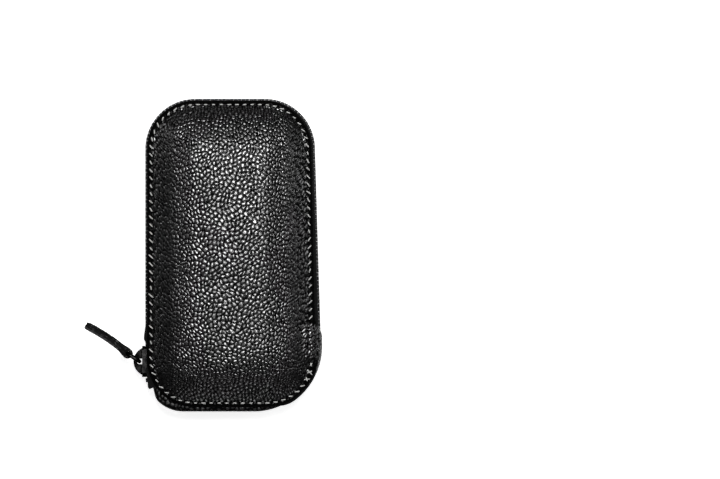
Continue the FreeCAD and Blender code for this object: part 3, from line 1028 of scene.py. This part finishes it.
def grain_and_crease_shade_group():
    """Hair pores, fine wrinkles and tone drift of leather, with painted shade: the colour darkens from the
    top colour to the crease colour towards the pebbles' creases.
    """
    t, start, end = shader_group(
        "leather grain and crease shade",
        {"Pebble": VALUE, "Top": COLOUR, "Crease shade": COLOUR, "Gloss": VALUE},
        {"Colour": COLOUR, "Roughness": VALUE, "Polish": VALUE, "Height": VALUE},
    )
    place = t.place()
    wrinkle = t.noise(place, 2600.0, 4.0)
    pores = t.add("ShaderNodeTexVoronoi", {"Vector": place, "Scale": 2200.0}, feature="DISTANCE_TO_EDGE")
    tone = t.noise(place, 90.0, 3.0)
    worn = t.noise(place, 1900.0, 1.0)
    pebble = t.ramp(start["Pebble"], 0.36, 0.72)
    drift = t.ramp(tone, 0.3, 0.7, -0.15, 0.15)
    share = t.maths("ADD", pebble, drift)
    # Painted shade: the base colour runs from the crease colour in the pebbles' creases to the top colour on
    # their tops, with random tone drift
    t.join(t.mix(share, start["Crease shade"], start["Top"]), end["Colour"])
    rough = t.ramp(pebble, 0.0, 1.0, 0.24, 0.0)
    rough = t.maths("ADD", rough, t.ramp(wrinkle, 0.3, 0.7, -0.06, 0.06))
    rough = t.maths("ADD", rough, t.ramp(tone, 0.3, 0.7, -0.04, 0.04))
    t.join(t.maths("ADD", rough, start["Gloss"]), end["Roughness"])
    polish = t.maths("MULTIPLY", t.ramp(tone, 0.3, 0.7, 0.8, 1.0), t.ramp(worn, 0.4, 0.58, 0.3, 1.0))
    t.join(t.maths("MULTIPLY", pebble, polish), end["Polish"])
    edge = t.ramp(pores.outputs["Distance"], 0.0, 0.25)
    height = t.maths("ADD", t.maths("MULTIPLY", edge, 0.4), t.maths("MULTIPLY", wrinkle, 0.6))
    t.join(height, end["Height"])
    return t.tree


def weave_and_gap_shade_group():
    """Plain weave from the marks along and across a strip or cloth, with painted shade: the colour share
    falls where the weave is low between the threads, and varies with random fuzz.
    """
    t, start, end = shader_group(
        "woven threads and gap shade",
        {"Along": VALUE, "Across": VALUE, "Pitch": VALUE},
        {"Height": VALUE, "Gap shade and fuzz": VALUE},
    )
    a = t.maths("DIVIDE", start["Along"], start["Pitch"])
    b = t.maths("DIVIDE", start["Across"], start["Pitch"])
    warp = t.wave(b)
    weft = t.wave(a)
    checker = t.maths("MODULO", t.maths("ADD", t.maths("FLOOR", a), t.maths("FLOOR", b)), 2.0)
    height = t.add("ShaderNodeMix", {"Factor": checker, 2: warp, 3: weft}).outputs[0]
    fuzz = t.noise(t.place(), 4000.0, 2.0)
    t.join(t.maths("ADD", height, t.maths("MULTIPLY", fuzz, 0.3)), end["Height"])
    # Painted shade between the threads, times random fuzz; the material mixes its colours by this
    gap_shade_and_fuzz = t.maths("MULTIPLY", t.ramp(height, 0.0, 1.0, 0.45, 1.0), t.ramp(fuzz, 0.2, 0.8, 0.8, 1.2))
    t.join(gap_shade_and_fuzz, end["Gap shade and fuzz"])
    return t.tree


def plating_group():
    """Rubbed plating: streaks, faint scratches and duller patches on metal."""
    t, start, end = shader_group(
        "rubbed plating",
        {"Plating": COLOUR, "Worn": COLOUR, "Gloss": VALUE},
        {"Colour": COLOUR, "Roughness": VALUE, "Height": VALUE},
    )
    place = t.place()
    patch = t.noise(place, 420.0, 4.0)
    streaks = {"Vector": place, "Scale": (400.0, 5200.0, 2600.0)}
    squeezed = t.add("ShaderNodeMapping", streaks).outputs["Vector"]
    scratch = t.noise(squeezed, 1.0, 2.0)
    share = t.ramp(patch, 0.42, 0.68)
    t.join(t.mix(share, start["Plating"], start["Worn"]), end["Colour"])
    rough = t.maths("ADD", t.ramp(patch, 0.3, 0.7, -0.05, 0.08), t.ramp(scratch, 0.35, 0.65, -0.03, 0.05))
    t.join(t.maths("ADD", rough, start["Gloss"]), end["Roughness"])
    t.join(scratch, end["Height"])
    return t.tree


leather_grain_and_crease_shade = grain_and_crease_shade_group()
woven_threads_and_gap_shade = weave_and_gap_shade_group()
rubbed_plating = plating_group()


class Finish(Tree):
    """A material with a Principled shader whose own sockets take these settings."""

    def __init__(self, name, settings):
        self.material = bpy.data.materials.new(name)
        self.material.use_nodes = True
        super().__init__(self.material.node_tree)
        self.tree.nodes.clear()
        self.shader = self.add("ShaderNodeBsdfPrincipled", settings)
        self.add("ShaderNodeOutputMaterial", {"Surface": self.shader.outputs["BSDF"]})

    def feed(self, socket, value):
        self.join(value, self.shader.inputs[socket])

    def relief(self, height, strength, depth):
        """Feeds a height to the shader as bump, its depth in millimetres."""
        inputs = {"Height": height, "Strength": strength, "Distance": depth * MM}
        self.feed("Normal", self.add("ShaderNodeBump", inputs).outputs["Normal"])

    def wear(self, group, inputs, strength, depth):
        """Places a group and feeds its colour, roughness and height to the shader."""
        made = self.add("ShaderNodeGroup", inputs, node_tree=group).outputs
        if "Colour" in made:
            self.feed("Base Color", made["Colour"])
            self.feed("Roughness", made["Roughness"])
        self.relief(made["Height"], strength, depth)
        return made


def leather(name, top, crease, gloss, polish):
    t = Finish(name, {"Specular IOR Level": 0.03, "Coat Roughness": gloss, "Coat IOR": 2.15})
    # The crease colour is painted shade, laid into the pebbles' creases
    inputs = {"Pebble": t.mark("pebble"), "Top": top, "Crease shade": crease, "Gloss": 0.5}
    made = t.wear(leather_grain_and_crease_shade, inputs, 0.3, 0.06)
    t.feed("Coat Weight", t.maths("MULTIPLY", made["Polish"], polish))
    return t.material


def woven(name, dark, light, pitch, rough):
    t = Finish(name, {"Roughness": rough, "Specular IOR Level": 0.1})
    inputs = {"Along": t.mark("along"), "Across": t.mark("across"), "Pitch": pitch}
    made = t.wear(woven_threads_and_gap_shade, inputs, 0.7, 0.12)
    # Base colour darker where the weave is low: painted shade between the threads, with random fuzz
    t.feed("Base Color", t.mix(made["Gap shade and fuzz"], dark, light))
    return t.material


def metal(name, plating, worn, gloss, edge):
    t = Finish(name, {"Metallic": 1.0, "Specular Tint": (edge, edge, edge, 1)})
    t.wear(rubbed_plating, {"Plating": plating, "Worn": worn, "Gloss": gloss}, 0.12, 0.02)
    return t.material


def thread_material():
    """Twisted pale grey sewing thread, its colour darker in the grooves between the strands: painted shade.
    """
    t = Finish("sewing thread", {"Roughness": 0.6, "Specular IOR Level": 0.3})
    lengthwise = t.maths("MULTIPLY", t.mark("along"), 1.1)
    strand = t.wave(t.maths("ADD", lengthwise, t.maths("MULTIPLY", t.mark("across"), 2.0)))
    # Painted shade: the colour darkens into the grooves of the twist
    t.feed("Base Color", t.mix(t.ramp(strand, 0.0, 0.7), (0.26, 0.26, 0.25, 1), (0.68, 0.68, 0.66, 1)))
    t.relief(strand, 0.8, 0.1)
    return t.material


def board_material():
    """Grey fibre board inside the panels."""
    t = Finish("fibre board", {"Roughness": 0.85})
    fibres = t.noise(t.place(), 900.0, 5.0)
    t.feed("Base Color", t.mix(fibres, (0.16, 0.14, 0.12, 1), (0.34, 0.31, 0.27, 1)))
    t.relief(fibres, 0.4, 0.1)
    return t.material


# Leather colours: the crease colours are painted shade in the pebbles' creases, and leather with little or
# no grain takes them as well
BLACK = (0.0018, 0.0018, 0.0019, 1)
BLACK_CREASE_SHADE = (0.0003, 0.0003, 0.0003, 1)
panel_leather = leather("pebbled leather", BLACK, BLACK_CREASE_SHADE, 0.25, 1.0)
spine_leather = leather("spine leather", BLACK, BLACK_CREASE_SHADE, 0.3, 0.7)
strap_leather = leather("strap leather", (0.016, 0.016, 0.0165, 1), (0.006, 0.006, 0.006, 1), 0.35, 1.0)
tape_cloth = woven("zip tape", (0.001, 0.001, 0.001, 1), (0.006, 0.006, 0.0063, 1), 0.55, 0.8)
lining_cloth = woven("lining cloth", (0.012, 0.012, 0.013, 1), (0.05, 0.05, 0.054, 1), 0.5, 0.85)
tooth_metal = metal("black plated teeth", (0.005, 0.005, 0.0053, 1), (0.02, 0.02, 0.02, 1), 0.32, 0.1)
slider_metal = metal("dark nickel", (0.003, 0.003, 0.0032, 1), (0.016, 0.0158, 0.0155, 1), 0.22, 0.3)
key_metal = metal("bright nickel", (0.62, 0.61, 0.59, 1), (0.75, 0.74, 0.72, 1), 0.18, 1.0)
thread = thread_material()
board = board_material()


# Pieces

front_panel = panel_piece(pillow, spacing=0.25, side=1, rest=0.1).build("padded_front", panel_leather)
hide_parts("front_panel")
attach(front_panel, "case_front")

back_panel = panel_piece(flat_pad, spacing=0.42, side=-1, rest=0.15).build("padded_back", panel_leather)
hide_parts("back_panel")
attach(back_panel, "case_back")

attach(stitching("front_stitching", 1, thread), "case_front")
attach(stitching("back_stitching", -1, thread), "case_back")

for half, side in (("front", 1), ("back", -1)):
    tape = tape_piece("%s_tape" % half, side, tape_cloth)
    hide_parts("%s_zip_tape" % half)
    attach(tape, "case_%s" % half)
    cloth = lining_piece("%s_lining_cloth" % half, side, lining_cloth)
    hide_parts("%s_lining" % half)
    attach(cloth, "case_%s" % half)
    corners = spine_corners("%s_spine_corners" % half, side, spine_leather)
    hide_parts("spine_%s" % half)
    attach(corners, "case_%s" % half)

spine = spine_fold("folding_spine", spine_leather)
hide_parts("spine_front", "spine_back")
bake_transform(spine)

link = link_piece("wire_link", slider_metal)
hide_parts("pull_link")
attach(link, "zip_pull_link")

tab = tab_piece("folded_tab", strap_leather)
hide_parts("pull_tab")
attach(tab, "zip_pull_tab")


WELD_REACH = 0.002
EDGE_ANGLE = math.radians(35)


def dress(node, material, bevel):
    """Gives a solid of the frame its finish and softly broken edges."""
    piece = frame["nodes"][node]
    piece.data.materials.clear()
    piece.data.materials.append(material)
    if bevel:
        weld = piece.modifiers.new("weld", "WELD")
        weld.merge_threshold = WELD_REACH * MM
        soft = piece.modifiers.new("soft edges", "BEVEL")
        soft.width = bevel * MM
        soft.segments = 2
        soft.limit_method = "ANGLE"
        soft.angle_limit = EDGE_ANGLE


for node in ("front_stiffener", "back_stiffener"):
    dress(node, board, 0)
for node in ("front_zip_teeth", "back_zip_teeth", "front_zip_stops", "back_zip_stops"):
    dress(node, tooth_metal, 0.14)
dress("slider_body", slider_metal, 0.22)
dress("slider_bridge", slider_metal, 0.4)
for node in ("key_bar", "hook_rod", "bar_rivets"):
    dress(node, key_metal, 0.15)
for number in range(1, 5):
    dress("key_hook_%d" % number, key_metal, 0.22)
    dress("hook_gate_%d" % number, key_metal, 0.2)


# Floor, light and camera

FLOOR_SIZE = 6.0
FLOOR_GLOW = 0.8
FLOOR_DROP = 0.05
ROOM_LIGHT = 0.018
LAMP_AIM = Vector((0.0, 0.0, 0.02))

# The photograph shows the rim at this many pixels to the millimetre
PIXELS_PER_MM = 2.6
IMAGE_WIDTH = 720
VIEW_CENTRE = (50.0, 5.5)
CAMERA_HEIGHT = 3000.0
SENSOR_WIDTH = 36


def floor_material():
    """Pale floor that keeps the shadow and is white where it is seen."""
    t = Finish("pale floor", {"Roughness": 0.9, "Specular IOR Level": 0.1, "Emission Color": (1, 1, 1, 1)})
    tone = t.noise(t.place(), 3.0, 2.0)
    t.feed("Base Color", t.mix(tone, (0.86, 0.86, 0.86, 1), (0.9, 0.9, 0.9, 1)))
    rays = t.add("ShaderNodeLightPath").outputs
    seen = t.maths("MAXIMUM", rays["Is Camera Ray"], rays["Is Glossy Ray"])
    seen = t.maths("MAXIMUM", seen, rays["Is Transmission Ray"])
    t.feed("Emission Strength", t.maths("MULTIPLY", seen, FLOOR_GLOW))
    return t.material


def soft_box(name, place, size, power):
    """Square studio lamp at a place in metres, turned to the case."""
    lamp = bpy.data.lights.new(name, "AREA")
    lamp.shape = "SQUARE"
    lamp.size = size
    lamp.energy = power
    holder = put(name, lamp)
    holder.location = place
    holder.rotation_euler = (LAMP_AIM - Vector(place)).to_track_quat("-Z", "Y").to_euler()


skin = Skin()
ground = skin.add([(*corner, 0) for corner in rectangle(FLOOR_SIZE / MM, FLOOR_SIZE / MM)])
skin.faces.append(ground.tolist())
floor = skin.build("pale_floor", floor_material())
floor.location.z = -FLOOR_DROP * MM

scene.world = bpy.data.worlds.new("soft room")
scene.world.use_nodes = True
background = scene.world.node_tree.nodes["Background"].inputs
background["Color"].default_value = (1, 1, 1, 1)
background["Strength"].default_value = ROOM_LIGHT
soft_box("key light", (0.03, 0.13, 0.6), 0.2, 2.8)
soft_box("ceiling panel", (0.0, 0.1, 0.9), 1.1, 0.64)
soft_box("right panel", (0.55, 0.1, 0.4), 0.16, 0.36)
soft_box("left panel", (-0.5, 0.25, 0.4), 0.16, 0.36)
soft_box("low panel", (0.05, -0.55, 0.4), 0.16, 0.34)
soft_box("high panel", (0.0, 0.6, 0.4), 0.16, 0.14)

camera = bpy.data.cameras.new("view from above")
camera.sensor_width = SENSOR_WIDTH
camera.lens = SENSOR_WIDTH * CAMERA_HEIGHT / (IMAGE_WIDTH / PIXELS_PER_MM)
scene.camera = put("view from above", camera)
scene.camera.location = Vector((*VIEW_CENTRE, RIM + LEATHER + CAMERA_HEIGHT)) * MM
scene.view_settings.view_transform = "Standard"
